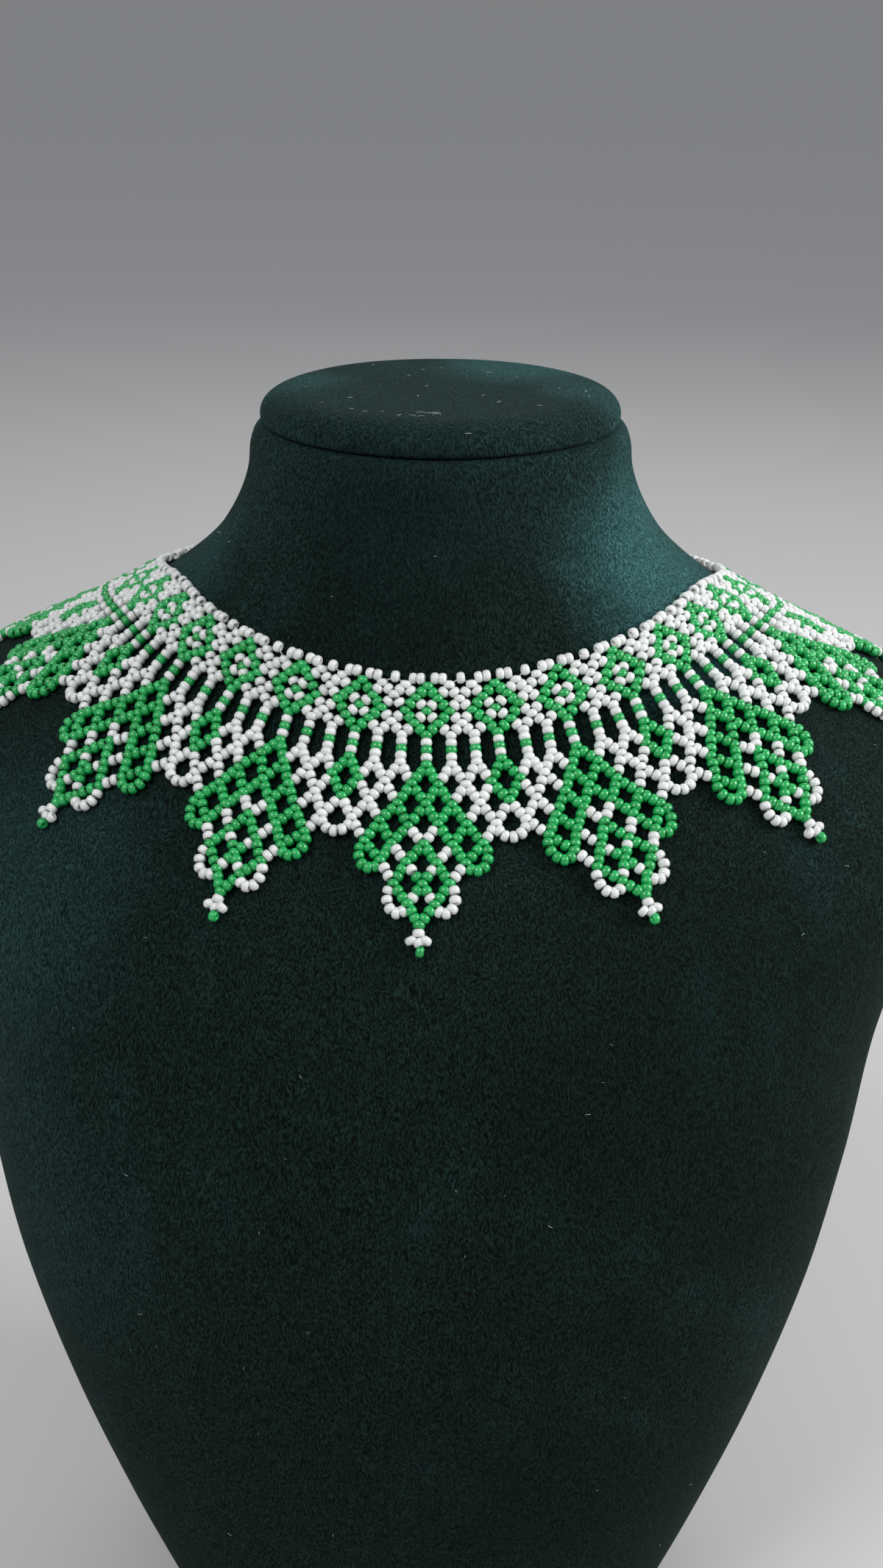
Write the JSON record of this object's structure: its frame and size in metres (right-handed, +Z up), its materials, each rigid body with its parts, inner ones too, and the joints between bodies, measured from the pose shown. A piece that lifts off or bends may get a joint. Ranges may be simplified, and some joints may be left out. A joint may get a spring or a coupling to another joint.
{
  "type": "bib necklace on neck bust",
  "caption": "Netted seed-bead bib necklace with leaf points in green and white, worn on a dark green suede neck bust.",
  "frame": {"origin": "on the flat underside of the bust, straight below the middle of the neck", "axes": "+Z up along the neck's axis, -Y to the front of the chest, +X to the viewer's right"},
  "size_m": [0.3014, 0.2228, 0.3538],
  "materials": {
    "suede": "matt nap",
    "glass_white": "opaque, glossy",
    "glass_green": "opaque, glossy",
    "brass": "polished"
  },
  "bodies": {
    "root": {"bust_body": "suede", "neck_cap": "suede", "collar_net": "glass_white", "tip_bead_01": "glass_green", "tip_bead_02": "glass_green", "tip_bead_03": "glass_green", "tip_bead_04": "glass_green", "tip_bead_05": "glass_green", "tip_bead_06": "glass_green", "tip_bead_07": "glass_green", "tip_bead_08": "glass_green", "tip_bead_09": "glass_green", "tip_bead_10": "glass_green", "tip_bead_11": "glass_green", "tip_bead_12": "glass_green", "tip_bead_13": "glass_green", "clasp": "brass"}
  },
  "joints": []
}
